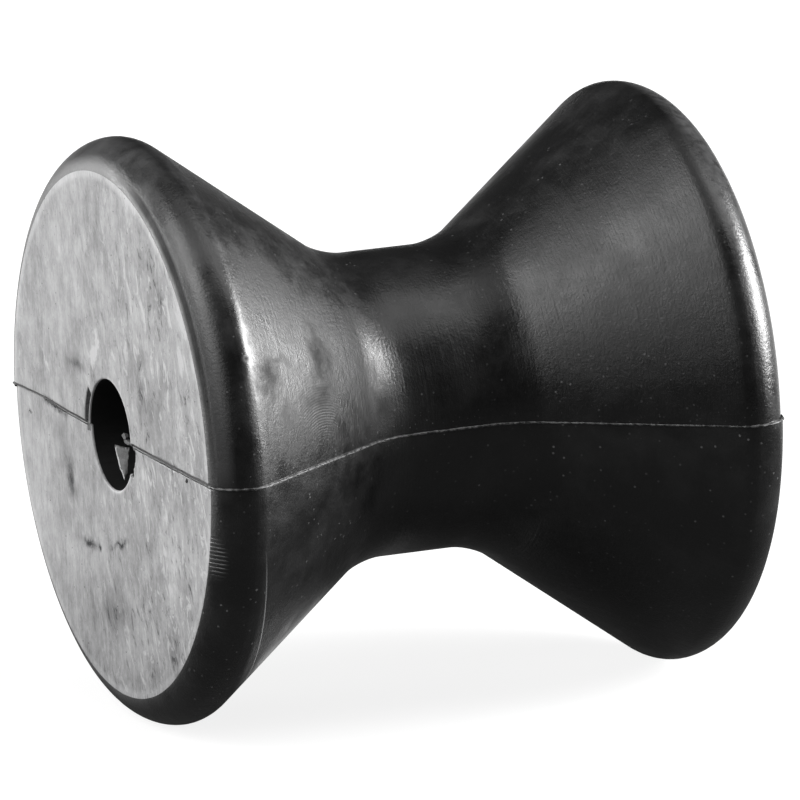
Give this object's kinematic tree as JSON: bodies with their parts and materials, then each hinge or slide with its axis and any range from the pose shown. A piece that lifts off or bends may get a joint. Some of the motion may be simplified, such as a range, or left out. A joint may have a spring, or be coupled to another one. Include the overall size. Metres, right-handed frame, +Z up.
{
  "type": "trailer bow roller",
  "caption": "Solid rubber guide roller with wide rounded flanges, conical inner sides falling to a narrow waist, and a plain through bore for a shaft.",
  "frame": {"origin": "middle of the bore, halfway between the two end faces", "axes": "+Y along the bore, +Z up when the roller lies on its flanges, with the mould's parting plane at z = 0"},
  "size_m": [0.074, 0.0762, 0.0732],
  "materials": {
    "black_rubber": "satin"
  },
  "bodies": {
    "root": {"roller_body": "black_rubber"}
  },
  "joints": []
}
